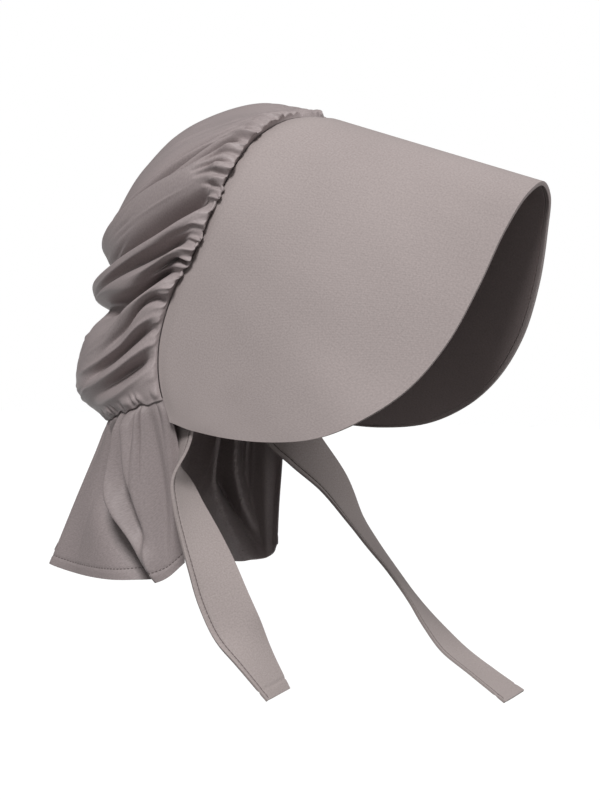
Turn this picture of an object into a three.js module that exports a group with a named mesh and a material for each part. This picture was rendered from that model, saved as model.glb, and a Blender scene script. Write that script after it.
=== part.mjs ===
// A sunbonnet: a stiff scoop brim with its lining, a gathered crown, a frill over the nape and two ties.
// Lengths are in millimetres. +Z is up, the wearer faces -Y and +X is the wearer's left.
// The origin is where the top of the head meets the inside of the crown.

import * as THREE from "three";

// Sizes of the seam that joins the brim to the crown, an arch over the head from ear to ear
const seamHalfWidth = 79;
const seamForward = 25;
const seamTopDrop = 3;
const seamHeight = 188;
const seamLean = 72;

// Sizes of the brim
const brimReach = 147;
const brimHeight = 198;
const brimHalfWidth = 80;
const coverThickness = 1.6;
const liningThickness = 1.2;

// Sizes of the crown
const crownDepth = 162;
const crownHeight = 194;
const crownThickness = 1.2;
const headerRise = 3.5;
const headerWidth = 7;
const headerReach = 35;
const gatherCount = 15;
const gatherRise = 1.8;
const gatherLength = 22;

// Sizes of the frill
const frillLength = 94;
const frillHemHalfWidth = 66;
const frillHemDepth = 120;
const frillHemForward = 2;
const frillThickness = 1.2;
const frillWaveRise = 6;

// Sizes of the ties
const tieWidth = 32;
const tieThickness = 1.4;
const tieClearance = 0.2;
const tieTuck = 7;
const tieSetForward = 1;
const rightTieDrop = 170;
const rightTieForward = 68;
const rightTieSpread = 13;
const leftTieDrop = 189;
const leftTieForward = 154;
const leftTieSpread = 30;

// Clearance between layers of cloth, and between the edges of pieces that are sewn edge to edge
const layerGap = 0.3;
const seamGap = 0.8;

// Share of the seam, from the top of the head down, that the crown is gathered onto
const crownSeamShare = 0.945;

// Shares of the crown's way down at which its gathers have opened below the top of the seam and at
// which they start to close again above the cinch, and the share of its rise that the header loses
const crownOpened = 0.04;
const crownClosing = 0.94;
const headerLoss = 0.6;

// Facets of each surface
const brimSteps = 48;
const brimColumns = 6;
const crownRows = 60;
const crownSteps = 24;
const frillRows = 10;
const frillSteps = 48;
const tieSteps = 26;

// Seam from the top of the head (0) to its lower corner (1), in shares of
// seamHalfWidth (out), seamLean (back) and seamHeight (down)
const seamRows = [
  { at: 0, out: 0, back: 0, down: 0 },
  { at: 0.12, out: 0.342, back: 0.15, down: 0.012 },
  { at: 0.23, out: 0.62, back: 0.3, down: 0.08 },
  { at: 0.325, out: 0.81, back: 0.39, down: 0.176 },
  { at: 0.44, out: 0.949, back: 0.5, down: 0.309 },
  { at: 0.55, out: 0.995, back: 0.639, down: 0.436 },
  { at: 0.68, out: 1, back: 0.861, down: 0.58 },
  { at: 0.8, out: 1, back: 0.985, down: 0.739 },
  { at: 0.9, out: 1, back: 0.985, down: 0.872 },
  { at: 1, out: 0.99, back: 0.89, down: 1 },
];

// Free edge of the brim from the middle of its front (0) round to the same corner (1), in shares of
// brimHalfWidth (out), brimReach (forward) and brimHeight (down)
const edgeRows = [
  { at: 0, out: 0, forward: 1, down: 0.217 },
  { at: 0.07, out: 0.24, forward: 0.982, down: 0.257 },
  { at: 0.16, out: 0.43, forward: 0.93, down: 0.364 },
  { at: 0.28, out: 0.6, forward: 0.857, down: 0.53 },
  { at: 0.4, out: 0.735, forward: 0.755, down: 0.697 },
  { at: 0.52, out: 0.85, forward: 0.605, down: 0.838 },
  { at: 0.62, out: 0.955, forward: 0.44, down: 0.925 },
  { at: 0.72, out: 0.993, forward: 0.25, down: 0.983 },
  { at: 0.82, out: 1, forward: 0.04, down: 1 },
  { at: 0.92, out: 1, forward: -0.18, down: 0.991 },
  { at: 1, out: 0.985, forward: -0.345, down: 0.971 },
];

// Middle line of the crown from the seam (0) over the head to the nape (1), in shares of
// crownDepth (back) and crownHeight (down)
const backRows = [
  { at: 0, back: 0, down: 0 },
  { at: 0.06, back: 0.28, down: -0.04 },
  { at: 0.12, back: 0.58, down: 0.035 },
  { at: 0.18, back: 0.77, down: 0.175 },
  { at: 0.25, back: 0.885, down: 0.33 },
  { at: 0.4, back: 0.93, down: 0.485 },
  { at: 0.55, back: 0.96, down: 0.61 },
  { at: 0.7, back: 1.005, down: 0.755 },
  { at: 0.82, back: 1.02, down: 0.865 },
  { at: 0.92, back: 0.97, down: 0.94 },
  { at: 1, back: 0.885, down: 1 },
];

// Places on the way from the seam (0) to the middle of the back (1) at which the folds are given
const foldPlaces = { seam: 0, near: 0.2, mid: 0.42, back: 0.72 };

// Folds that swag round the crown, in percent. seam, near, mid and back are how far down the crown a
// fold lies at each of the places above. rise is how far it stands out (below 0: a valley) for each
// seamHalfWidth, width is half its spread down the crown, start and end are its strength at the seam
// and at the back, and lift moves it on the wearer's left, where the folds fall a little differently.
const foldRows = [
  { seam: 20, near: 25.5, mid: 32.5, back: 30, rise: -2.8, width: 1.6, start: 30, end: 50, lift: 1.2 },
  { seam: 33.8, near: 33.7, mid: 33.5, back: 34.5, rise: 2.8, width: 3.4, start: 50, end: 40, lift: -1 },
  { seam: 40, near: 42, mid: 44.5, back: 43, rise: -8.5, width: 4, start: 30, end: 60, lift: 1.5 },
  { seam: 46.5, near: 50.4, mid: 53, back: 49, rise: 3, width: 2.2, start: 60, end: 70, lift: 1 },
  { seam: 55, near: 57, mid: 57.5, back: 53, rise: -4.5, width: 2, start: 50, end: 20, lift: -1.2 },
  { seam: 60, near: 62, mid: 62, back: 54.5, rise: 3.5, width: 3, start: 80, end: 100, lift: 0 },
  { seam: 62.7, near: 70.5, mid: 69, back: 60.5, rise: -18, width: 2.7, start: 20, end: 80, lift: 1.2 },
  { seam: 66.9, near: 73.5, mid: 75, back: 70, rise: 3.5, width: 3, start: 80, end: 60, lift: 1.5 },
  { seam: 80, near: 80, mid: 79, back: 77, rise: -3, width: 2, start: 70, end: 20, lift: -1.5 },
  { seam: 82.5, near: 86.5, mid: 89, back: 86, rise: 2.5, width: 2.2, start: 70, end: 50, lift: -1 },
  { seam: 85.2, near: 92, mid: 95.5, back: 93, rise: -5, width: 2, start: 60, end: 40, lift: 1 },
];

// Hem of the frill from the middle of the back (0) to its front corner (1), in shares of
// frillHemHalfWidth (out), frillHemDepth (back) and frillLength (lift)
const hemRows = [
  { at: 0, out: 0, back: 1, lift: 0 },
  { at: 0.25, out: 0.42, back: 0.95, lift: -0.01 },
  { at: 0.5, out: 0.76, back: 0.72, lift: -0.06 },
  { at: 0.75, out: 0.95, back: 0.36, lift: -0.07 },
  { at: 0.92, out: 0.99, back: 0.09, lift: -0.03 },
  { at: 1, out: 0.985, back: 0, lift: 0.07 },
];

// Waves of the frill from the middle of the back (0) to its front edge (1). Each has a half spread
// (width), a height in shares of frillWaveRise (rise, below 0: a valley) and the place that its top
// has at the cinch (cinch).
const waveRows = [
  { at: 0.1, cinch: 0.1, width: 0.06, rise: 1 },
  { at: 0.24, cinch: 0.27, width: 0.05, rise: -0.9 },
  { at: 0.38, cinch: 0.4, width: 0.055, rise: 1 },
  { at: 0.52, cinch: 0.5, width: 0.045, rise: -1.1 },
  { at: 0.63, cinch: 0.6, width: 0.045, rise: 0.8 },
  { at: 0.74, cinch: 0.72, width: 0.04, rise: -1.1 },
  { at: 0.87, cinch: 0.88, width: 0.055, rise: 0.9 },
];

// Ties from the tucked end (0) to the hemmed end (1). down, forward and out are shares of the tie's
// own drop, forward and spread, and turn is the heading of its width in degrees from +X towards +Y.
const rightTieRows = [
  { at: 0, down: 0, forward: 0, out: 0, turn: 55 },
  { at: 0.09, down: 0.085, forward: -0.01, out: 0, turn: 56 },
  { at: 0.17, down: 0.17, forward: -0.01, out: 0.08, turn: 37 },
  { at: 0.24, down: 0.243, forward: 0.04, out: 0.15, turn: 7 },
  { at: 0.35, down: 0.347, forward: 0.137, out: 0.28, turn: -11 },
  { at: 0.45, down: 0.451, forward: 0.25, out: 0.385, turn: -21 },
  { at: 0.55, down: 0.555, forward: 0.37, out: 0.46, turn: -33 },
  { at: 0.65, down: 0.659, forward: 0.487, out: 0.5, turn: -49 },
  { at: 0.75, down: 0.757, forward: 0.618, out: 0.46, turn: -53 },
  { at: 0.86, down: 0.861, forward: 0.78, out: 0.34, turn: -27 },
  { at: 1, down: 1, forward: 1, out: 0.15, turn: -2 },
];
const leftTieRows = [
  { at: 0, down: 0, forward: 0, out: 0, turn: -55 },
  { at: 0.09, down: 0.1, forward: 0.03, out: -0.01, turn: -55 },
  { at: 0.16, down: 0.17, forward: 0.1, out: 0.14, turn: -38 },
  { at: 0.25, down: 0.272, forward: 0.2, out: 0.4, turn: -14 },
  { at: 0.37, down: 0.411, forward: 0.305, out: 0.533, turn: 9 },
  { at: 0.46, down: 0.496, forward: 0.377, out: 0.633, turn: 13 },
  { at: 0.55, down: 0.581, forward: 0.457, out: 0.733, turn: 17 },
  { at: 0.65, down: 0.68, forward: 0.55, out: 0.8, turn: 17 },
  { at: 0.74, down: 0.764, forward: 0.628, out: 0.867, turn: 8 },
  { at: 0.82, down: 0.846, forward: 0.72, out: 0.933, turn: -3 },
  { at: 0.91, down: 0.924, forward: 0.857, out: 0.967, turn: -5 },
  { at: 1, down: 1, forward: 1, out: 1, turn: -6 },
];

// Value of a table's column at a place, on smooth cubic pieces. A level column leaves its first row
// without a slope, as one that is mirrored about the middle does.
function readColumn(rows, column, place, level = false) {
  const last = rows.length - 1;
  const at = THREE.MathUtils.clamp(place, rows[0].at, rows[last].at);
  const chord = (k) => (rows[k + 1][column] - rows[k][column]) / (rows[k + 1].at - rows[k].at);
  const slope = (k) => {
    if (k === 0) return level ? 0 : chord(0);
    if (k === last) return chord(last - 1);
    const before = rows[k].at - rows[k - 1].at;
    const after = rows[k + 1].at - rows[k].at;
    return (chord(k - 1) * after + chord(k) * before) / (before + after);
  };
  let piece = 0;
  while (piece < last - 1 && at > rows[piece + 1].at) piece += 1;
  const span = rows[piece + 1].at - rows[piece].at;
  const t = (at - rows[piece].at) / span;
  const start = rows[piece][column] * (1 - t * t * (3 - 2 * t));
  const end = rows[piece + 1][column] * t * t * (3 - 2 * t);
  const bend = slope(piece) * t * (1 - t) ** 2 - slope(piece + 1) * t * t * (1 - t);
  return start + end + bend * span;
}

// Bell-shaped bump of height 1 round 0
const bump = (offset, width) => Math.exp(-((offset / width) ** 2));

// Grid of points from a function of a row and a column, each running from 0 to 1
function pointGrid(rowCount, columnCount, pointAt) {
  return Array.from({ length: rowCount + 1 }, (_, row) =>
    Array.from({ length: columnCount + 1 }, (_, column) => pointAt(row / rowCount, column / columnCount)));
}

// Outward normals of a grid whose columns, crossed with its rows, point outwards. Where a whole row
// closes in one point, the normals of the next row stand in for its own.
function gridNormals(grid) {
  const lastRow = grid.length - 1;
  const normals = grid.map((row, i) => row.map((point, j) => {
    const before = grid[Math.max(i - 1, 0)][j];
    const after = grid[Math.min(i + 1, lastRow)][j];
    const left = row[Math.max(j - 1, 0)];
    const right = row[Math.min(j + 1, row.length - 1)];
    return right.clone().sub(left).cross(after.clone().sub(before)).normalize();
  }));
  if (normals[0].every((normal) => normal.lengthSq() === 0)) {
    const mean = normals[1].reduce((sum, normal) => sum.add(normal), new THREE.Vector3()).normalize();
    normals[0] = normals[0].map(() => mean.clone());
  }
  return normals;
}

// Copy of a grid moved along its normals, outwards for a distance above 0
function offsetGrid(grid, distance) {
  const normals = gridNormals(grid);
  return grid.map((row, i) => row.map((point, j) => point.clone().addScaledVector(normals[i][j], distance)));
}

// Closed wall between an outer and an inner grid, with a rim along each border. Corners that fall
// together share one vertex, and a triangle that closes to a line is left out.
function wallGeometry(outer, inner) {
  const vertices = [];
  const indices = [];
  const known = new Map();
  const indexOf = (point) => {
    const key = point.toArray().map((value) => value.toFixed(4)).join();
    if (!known.has(key)) {
      known.set(key, vertices.length / 3);
      vertices.push(...point.toArray());
    }
    return known.get(key);
  };
  const addTriangle = (a, b, c) => {
    const corners = [a, b, c].map(indexOf);
    if (new Set(corners).size === 3) indices.push(...corners);
  };
  const addQuad = (a, b, c, d) => {
    addTriangle(a, b, c);
    addTriangle(a, c, d);
  };
  const rows = outer.length - 1;
  const columns = outer[0].length - 1;
  for (let i = 0; i < rows; i += 1) {
    for (let j = 0; j < columns; j += 1) {
      addQuad(outer[i][j], outer[i][j + 1], outer[i + 1][j + 1], outer[i + 1][j]);
      addQuad(inner[i][j], inner[i + 1][j], inner[i + 1][j + 1], inner[i][j + 1]);
    }
  }
  for (let i = 0; i < rows; i += 1) {
    addQuad(outer[i][0], outer[i + 1][0], inner[i + 1][0], inner[i][0]);
    addQuad(outer[i + 1][columns], outer[i][columns], inner[i][columns], inner[i + 1][columns]);
  }
  for (let j = 0; j < columns; j += 1) {
    addQuad(outer[0][j + 1], outer[0][j], inner[0][j], inner[0][j + 1]);
    addQuad(outer[rows][j], outer[rows][j + 1], inner[rows][j + 1], inner[rows][j]);
  }
  const geometry = new THREE.BufferGeometry();
  geometry.setAttribute("position", new THREE.Float32BufferAttribute(vertices, 3));
  geometry.setIndex(indices);
  geometry.computeVertexNormals();
  return geometry;
}

// Point of the seam, from the wearer's right corner (-1) over the head (0) to the left corner (1)
function seamPoint(place) {
  const share = Math.abs(place);
  return new THREE.Vector3(
    Math.sign(place) * seamHalfWidth * readColumn(seamRows, "out", share),
    seamLean * readColumn(seamRows, "back", share, true) - seamForward,
    -seamTopDrop - seamHeight * readColumn(seamRows, "down", share, true),
  );
}

// Point of the brim's free edge, from corner to corner as the seam runs
function edgePoint(place) {
  const share = Math.abs(place);
  return new THREE.Vector3(
    Math.sign(place) * brimHalfWidth * readColumn(edgeRows, "out", share),
    -seamForward - brimReach * readColumn(edgeRows, "forward", share, true),
    -seamTopDrop - brimHeight * readColumn(edgeRows, "down", share, true),
  );
}

// Brim: straight lines from the seam to the free edge, closer together over the top of the head
function brimGrid() {
  const crowding = 1.4;
  return pointGrid(brimSteps, brimColumns, (row, column) => {
    const place = 2 * row - 1;
    const share = Math.sign(place) * Math.abs(place) ** crowding;
    return seamPoint(share).lerp(edgePoint(share), column);
  });
}

// Smooth crown without its folds. share runs from the top of the seam (0) to the cinch at the nape
// (1), and round from the wearer's right seam (-1) over the middle of the back (0) to the left (1).
function crownPoint(share, round) {
  const sagAtTop = 2;
  const sagLoss = 1.1;
  const mostSagLoss = 0.9;
  const start = seamPoint(share * crownSeamShare);
  const angle = round * Math.PI / 2;
  const back = crownDepth * readColumn(backRows, "back", share) - seamForward;
  const down = -seamTopDrop - crownHeight * readColumn(backRows, "down", share);
  const sag = sagAtTop - Math.min(sagLoss * share, mostSagLoss);
  return new THREE.Vector3(
    start.x * Math.sin(angle),
    start.y + seamGap + (back - start.y) * Math.cos(angle),
    start.z + (down - start.z) * Math.cos(angle) ** sag,
  );
}

// Height of the swagging folds at a place on the crown. A fold has its own strength at the seam up to
// startReach and at the back from endFrom on. On the wearer's left its lift is largest half-way round.
function foldHeight(share, round) {
  const percent = 100;
  const startReach = 0.14;
  const endFrom = 0.5;
  const fromSeam = 1 - Math.abs(round);
  const leftSide = 4 * Math.max(0, round) * fromSeam;
  const height = foldRows.reduce((sum, fold) => {
    const path = Object.entries(foldPlaces).map(([place, at]) => ({ at, down: fold[place] }));
    const down = readColumn(path, "down", fromSeam) + fold.lift * leftSide;
    const opening = THREE.MathUtils.smoothstep(fromSeam, 0, startReach);
    const start = THREE.MathUtils.lerp(fold.start, percent, opening);
    const end = THREE.MathUtils.lerp(percent, fold.end, THREE.MathUtils.smoothstep(fromSeam, endFrom, 1));
    return sum + fold.rise * start * end * bump(percent * share - down, fold.width) / percent ** 3;
  }, 0);
  return seamHalfWidth * height;
}

// Crown with its gathered header, its gathers and its folds, which die out at the seam and the cinch
function crownGrid() {
  const crowding = 1.7;
  const roundAt = (column) => {
    const place = 2 * column - 1;
    return Math.sign(place) * (1 - (1 - Math.abs(place)) ** crowding);
  };
  const base = pointGrid(crownRows, crownSteps, (row, column) => crownPoint(row, roundAt(column)));
  const normals = gridNormals(base);
  return base.map((row, i) => {
    const share = i / crownRows;
    const opened = THREE.MathUtils.smoothstep(share, 0, crownOpened);
    const cinched = 1 - THREE.MathUtils.smoothstep(share, crownClosing, 1);
    const gather = gatherRise * Math.cos(2 * Math.PI * gatherCount * share);
    return row.map((point, j) => {
      const round = roundAt(j / crownSteps);
      const seam = row[round < 0 ? 0 : crownSteps];
      const distance = point.distanceTo(seam);
      const held = 1 - Math.exp(-distance / headerWidth);
      const header = headerRise * (1 - headerLoss * share) * Math.exp(-distance / headerReach);
      const small = gather * Math.exp(-distance / gatherLength);
      const rise = held * cinched * (header + opened * (small + foldHeight(share, round)));
      return point.clone().addScaledVector(normals[i][j], rise);
    });
  });
}

// Point of the hem of the frill
function hemPoint(round) {
  const place = Math.abs(round);
  const corner = seamPoint(1);
  return new THREE.Vector3(
    Math.sign(round) * frillHemHalfWidth * readColumn(hemRows, "out", place),
    corner.y - frillHemForward + frillHemDepth * readColumn(hemRows, "back", place, true),
    corner.z + frillLength * (readColumn(hemRows, "lift", place, true) - 1),
  );
}

// Frill from the crown's cinch down to the hem, with waves that open towards the hem
function frillGrid() {
  const waveOpening = 0.6;
  const base = pointGrid(frillRows, frillSteps, (row, column) => {
    const round = 2 * column - 1;
    const top = crownPoint(1, round).add(new THREE.Vector3(0, 0, -seamGap));
    return top.lerp(hemPoint(round), row);
  });
  const normals = gridNormals(base);
  return base.map((row, i) => row.map((point, j) => {
    const down = i / frillRows;
    const place = Math.abs(2 * j / frillSteps - 1);
    const wave = waveRows.reduce((sum, { at, cinch, width, rise }) => {
      const centre = THREE.MathUtils.lerp(cinch, at, down);
      return sum + rise * bump(place - centre, width);
    }, 0);
    return point.clone().addScaledVector(normals[i][j], frillWaveRise * wave * down ** waveOpening);
  }));
}

// Tie: a flat band whose width turns about its path. It is tucked in behind the brim's back corner,
// above the brim's lower edge there.
function tieGeometry(rows, side, sizes) {
  const step = 0.01;
  const corner = seamPoint(side);
  const lowerEdge = Math.max(corner.z, edgePoint(side).z);
  const brimWall = coverThickness + layerGap + liningThickness;
  const halfWidth = tieWidth / 2 * Math.cos(THREE.MathUtils.degToRad(rows[0].turn));
  const inset = brimWall + tieClearance + halfWidth;
  const start = new THREE.Vector3(corner.x - side * inset, corner.y - tieSetForward, lowerEdge + tieTuck);
  const centreAt = (place) => new THREE.Vector3(
    side * sizes.spread * readColumn(rows, "out", place),
    -sizes.forward * readColumn(rows, "forward", place),
    -sizes.drop * readColumn(rows, "down", place),
  ).add(start);
  const face = pointGrid(tieSteps, 1, (row, column) => {
    const centre = centreAt(row);
    const tangent = centreAt(row + step).sub(centreAt(row - step)).normalize();
    const turn = THREE.MathUtils.degToRad(readColumn(rows, "turn", row));
    const across = new THREE.Vector3(Math.cos(turn), Math.sin(turn), 0);
    across.addScaledVector(tangent, -across.dot(tangent)).normalize();
    return centre.addScaledVector(across, tieWidth * (column - 0.5));
  });
  return wallGeometry(offsetGrid(face, tieThickness / 2), offsetGrid(face, -tieThickness / 2));
}

const sunbonnet = new THREE.Group();

// Adds one named piece of cloth to the bonnet
function addPiece(name, geometry, color, roughness) {
  const mesh = new THREE.Mesh(geometry, new THREE.MeshStandardMaterial({ color, roughness, metalness: 0 }));
  mesh.name = name;
  sunbonnet.add(mesh);
}

const coverOuter = brimGrid();
const liningDepth = coverThickness + layerGap;
const crownOuter = crownGrid();
const frillOuter = frillGrid();

addPiece("brim_cover", wallGeometry(coverOuter, offsetGrid(coverOuter, -coverThickness)), 0xa29896, 0.88);
addPiece(
  "brim_lining",
  wallGeometry(offsetGrid(coverOuter, -liningDepth), offsetGrid(coverOuter, -liningDepth - liningThickness)),
  0x8f8583,
  0.9,
);
addPiece("crown", wallGeometry(crownOuter, offsetGrid(crownOuter, -crownThickness)), 0x968b8a, 0.7);
addPiece("nape_frill", wallGeometry(frillOuter, offsetGrid(frillOuter, -frillThickness)), 0x928885, 0.78);
addPiece(
  "tie_right",
  tieGeometry(rightTieRows, -1, { drop: rightTieDrop, forward: rightTieForward, spread: rightTieSpread }),
  0x9d918c,
  0.82,
);
addPiece(
  "tie_left",
  tieGeometry(leftTieRows, 1, { drop: leftTieDrop, forward: leftTieForward, spread: leftTieSpread }),
  0x9d918c,
  0.82,
);

export default sunbonnet;
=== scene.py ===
import bpy
import numpy as np
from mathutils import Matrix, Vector


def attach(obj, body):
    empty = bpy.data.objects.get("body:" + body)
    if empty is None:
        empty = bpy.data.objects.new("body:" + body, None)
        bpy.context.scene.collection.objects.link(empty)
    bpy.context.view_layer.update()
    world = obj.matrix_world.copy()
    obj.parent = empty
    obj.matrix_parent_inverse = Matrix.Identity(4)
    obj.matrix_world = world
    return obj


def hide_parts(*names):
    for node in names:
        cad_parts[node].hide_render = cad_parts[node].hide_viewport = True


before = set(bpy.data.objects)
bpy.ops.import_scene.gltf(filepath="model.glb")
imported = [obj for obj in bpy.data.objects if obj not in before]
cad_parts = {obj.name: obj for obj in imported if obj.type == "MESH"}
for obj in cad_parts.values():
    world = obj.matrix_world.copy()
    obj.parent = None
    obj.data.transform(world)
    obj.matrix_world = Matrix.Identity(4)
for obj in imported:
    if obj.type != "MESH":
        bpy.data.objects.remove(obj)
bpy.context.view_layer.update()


# Camera
# It stands 1.6 m from the bonnet, 63 degrees round to the wearer's right and 3 degrees above level,
# and aims at the middle of the bonnet.

camera_distance = 1.6
camera_aim = Vector((0, -0.010, -0.180))


def direction_to(azimuth, elevation):
    """Unit vector towards a place that many degrees round from the wearer's front to the wearer's left,
    and that many above level."""
    azimuth, elevation = np.radians(azimuth), np.radians(elevation)
    return Vector((
        np.sin(azimuth) * np.cos(elevation),
        -np.cos(azimuth) * np.cos(elevation),
        np.sin(elevation),
    ))


camera_back = direction_to(-63, 3)
camera = bpy.data.objects.new("camera", bpy.data.cameras.new("camera"))
camera.data.sensor_width = 36
camera.data.lens = 115.2
camera.location = camera_aim + camera_back * camera_distance
camera.rotation_euler = (-camera_back).to_track_quat("-Z", "Y").to_euler()
bpy.context.scene.collection.objects.link(camera)
bpy.context.scene.camera = camera


# Studio
# A pale floor below the hanging bonnet, a soft white surround whose light comes mostly from the
# wearer's front right and above, a broad key light from the wearer's right and above, and a weaker
# one from the wearer's left front that catches the far edges.

floor_height = -0.80
floor_half_size = 9
floor_corners = [
    (x * floor_half_size, y * floor_half_size, floor_height) for x, y in ((-1, -1), (1, -1), (1, 1), (-1, 1))]
floor_mesh = bpy.data.meshes.new("floor")
floor_mesh.from_pydata(floor_corners, [], [(0, 1, 2, 3)])
floor = bpy.data.objects.new("floor", floor_mesh)
bpy.context.scene.collection.objects.link(floor)

# The floor is seen, but throws no light back up on the bonnet
floor.visible_diffuse = False
floor_paint = bpy.data.materials.new("floor_paint")
floor_paint.use_nodes = True
floor_shader = floor_paint.node_tree.nodes["Principled BSDF"]
floor_shader.inputs["Base Color"].default_value = (0.95, 0.95, 0.95, 1)
floor_shader.inputs["Roughness"].default_value = 0.9
floor_shader.inputs["Emission Color"].default_value = (1, 1, 1, 1)
floor_shader.inputs["Emission Strength"].default_value = 0.15
floor_mesh.materials.append(floor_paint)

# Name, degrees round from the wearer's front, degrees above level, strength
light_rows = (("key_light", -70, 43, 2.8), ("edge_light", 35, 18, 0.8))
light_breadth = np.radians(16)
for name, azimuth, elevation, energy in light_rows:
    light = bpy.data.objects.new(name, bpy.data.lights.new(name, "SUN"))
    light.data.energy = energy
    light.data.angle = light_breadth
    light.rotation_euler = direction_to(azimuth, elevation).to_track_quat("Z", "Y").to_euler()
    bpy.context.scene.collection.objects.link(light)

# The camera sees the surround white, and each way lights by how near it lies to the bright side
world = bpy.data.worlds.new("studio")
world.use_nodes = True
world_nodes, world_links = world.node_tree.nodes, world.node_tree.links
surround = world_nodes["Background"]
surround.inputs["Color"].default_value = (1, 1, 1, 1)
heading = world_nodes.new("ShaderNodeTexCoord")
bright_side = world_nodes.new("ShaderNodeVectorMath")
bright_side.operation = "DOT_PRODUCT"
bright_side.inputs[1].default_value = Vector((-0.4, -0.7, 0.6))
glow = world_nodes.new("ShaderNodeMapRange")
glow.inputs["From Min"].default_value = -0.7
glow.inputs["From Max"].default_value = 1
glow.inputs["To Min"].default_value = 0.04
glow.inputs["To Max"].default_value = 0.44
seen = world_nodes.new("ShaderNodeLightPath")
shown = world_nodes.new("ShaderNodeMath")
shown.operation = "MAXIMUM"
world_links.new(heading.outputs["Generated"], bright_side.inputs[0])
world_links.new(bright_side.outputs["Value"], glow.inputs["Value"])
world_links.new(glow.outputs["Result"], shown.inputs[0])
world_links.new(seen.outputs["Is Camera Ray"], shown.inputs[1])
world_links.new(shown.outputs["Value"], surround.inputs["Strength"])
bpy.context.scene.world = world
bpy.context.scene.view_settings.view_transform = "Standard"


# Brim cover
# The outer cloth of the stiff scoop brim: one layer of taupe twill over a stiffener, turned in along
# the free edge and sewn to the crown along the seam from ear to ear.

mm = 0.001
seam_half_width = 79
seam_forward = 25
seam_top_drop = 3
seam_height = 188
seam_lean = 72
brim_reach = 147
brim_height = 198
brim_half_width = 80
cover_thickness = 1.6
brim_rows, brim_columns = 320, 60
top_crowding, edge_crowding = 1.4, 1.5

# In millimetres: how deep the seam sinks the cover and how far from the seam, and how much thicker the
# turned-in edge is, over what depth, and over what distance that fades
seam_sink, seam_sink_reach = 4.6, 4.6
edge_turn, edge_turn_depth, edge_turn_fade = 1.1, 1.6, 1.2

# Seam from the top of the head (0) to its lower corner (1), in shares of the three seam sizes
seam_table = {
    "at": (0, 0.12, 0.23, 0.325, 0.44, 0.55, 0.68, 0.8, 0.9, 1),
    "out": (0, 0.342, 0.62, 0.81, 0.949, 0.995, 1, 1, 1, 0.99),
    "back": (0, 0.15, 0.3, 0.39, 0.5, 0.639, 0.861, 0.985, 0.985, 0.89),
    "down": (0, 0.012, 0.08, 0.176, 0.309, 0.436, 0.58, 0.739, 0.872, 1),
}

# Free edge of the brim from the middle of its front (0) to the same corner (1)
edge_table = {
    "at": (0, 0.07, 0.16, 0.28, 0.4, 0.52, 0.62, 0.72, 0.82, 0.92, 1),
    "out": (0, 0.24, 0.43, 0.6, 0.735, 0.85, 0.955, 0.993, 1, 1, 0.985),
    "forward": (1, 0.982, 0.93, 0.857, 0.755, 0.605, 0.44, 0.25, 0.04, -0.18, -0.345),
    "down": (0.217, 0.257, 0.364, 0.53, 0.697, 0.838, 0.925, 0.983, 1, 0.991, 0.971),
}


def read_column(table, column, place, level=False):
    """A table's column at an array of places, on cubic pieces through its rows. The slope at a row is
    the mean of the chords on both sides, each weighted with the other's span. A level column starts
    without a slope, as one that is mirrored about its start does."""
    at, values = np.array(table["at"], float), np.array(table[column], float)
    span = np.diff(at)
    chord = np.diff(values) / span
    middle = (chord[:-1] * span[1:] + chord[1:] * span[:-1]) / (span[:-1] + span[1:])
    slope = np.concatenate([[0 if level else chord[0]], middle, [chord[-1]]])
    place = np.clip(place, at[0], at[-1])
    piece = np.clip(np.searchsorted(at, place, side="right") - 1, 0, len(span) - 1)
    t = (place - at[piece]) / span[piece]
    blend = t * t * (3 - 2 * t)
    bend = slope[piece] * t * (1 - t) ** 2 - slope[piece + 1] * t * t * (1 - t)
    return values[piece] * (1 - blend) + values[piece + 1] * blend + bend * span[piece]


def seam_line(place):
    """Points of the seam in millimetres, from the wearer's right corner (-1) to the left one (1)."""
    share = np.abs(place)
    return np.stack([
        np.sign(place) * seam_half_width * read_column(seam_table, "out", share),
        seam_lean * read_column(seam_table, "back", share, True) - seam_forward,
        -seam_top_drop - seam_height * read_column(seam_table, "down", share, True),
    ], -1)


def edge_line(place):
    """Points of the brim's free edge, from corner to corner as the seam runs."""
    share = np.abs(place)
    return np.stack([
        np.sign(place) * brim_half_width * read_column(edge_table, "out", share),
        -seam_forward - brim_reach * read_column(edge_table, "forward", share, True),
        -seam_top_drop - brim_height * read_column(edge_table, "down", share, True),
    ], -1)


def unit(vectors):
    """Vectors shortened or stretched to length 1."""
    return vectors / np.maximum(np.linalg.norm(vectors, axis=-1, keepdims=True), 1e-9)


def grid_normals(points):
    """Normals of a grid: the way along the columns crossed with the way along the rows. The first row
    takes the mean of the second where it closes in one point."""
    along_rows = np.gradient(points, axis=0)
    along_columns = np.gradient(points, axis=1)
    normals = unit(np.cross(along_columns, along_rows))
    if np.ptp(points[0], axis=0).max() < 1e-6:
        normals[0] = unit(normals[1].mean(0))
    return normals


def run_along(path):
    """How far along a path each of its points lies."""
    steps = np.linalg.norm(np.diff(path, axis=0), axis=-1)
    return np.concatenate([[0], np.cumsum(steps)])


def cloth_lengths(points):
    """Width and length coordinates of a grid's points on the cloth, in metres: how far along its
    middle row and its middle column each column and row lies."""
    rows, columns = points.shape[:2]
    across = run_along(points[rows // 2]) * mm
    down = run_along(points[:, columns // 2]) * mm
    return np.stack(np.broadcast_arrays(across[None, :], down[:, None]), -1)


def border(rows, columns):
    """Indices of a grid's border points, once round, and the grid's own index array."""
    index = np.arange(rows * columns).reshape(rows, columns)
    round_trip = [index[0, :-1], index[:-1, -1], index[-1, :0:-1], index[:0:-1, 0]]
    return np.concatenate(round_trip), index


def quads_of(index):
    """The four corners of every cell of an index array."""
    corners = (index[:-1, :-1], index[:-1, 1:], index[1:, 1:], index[1:, :-1])
    return np.stack(corners, -1).reshape(-1, 4)


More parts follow.
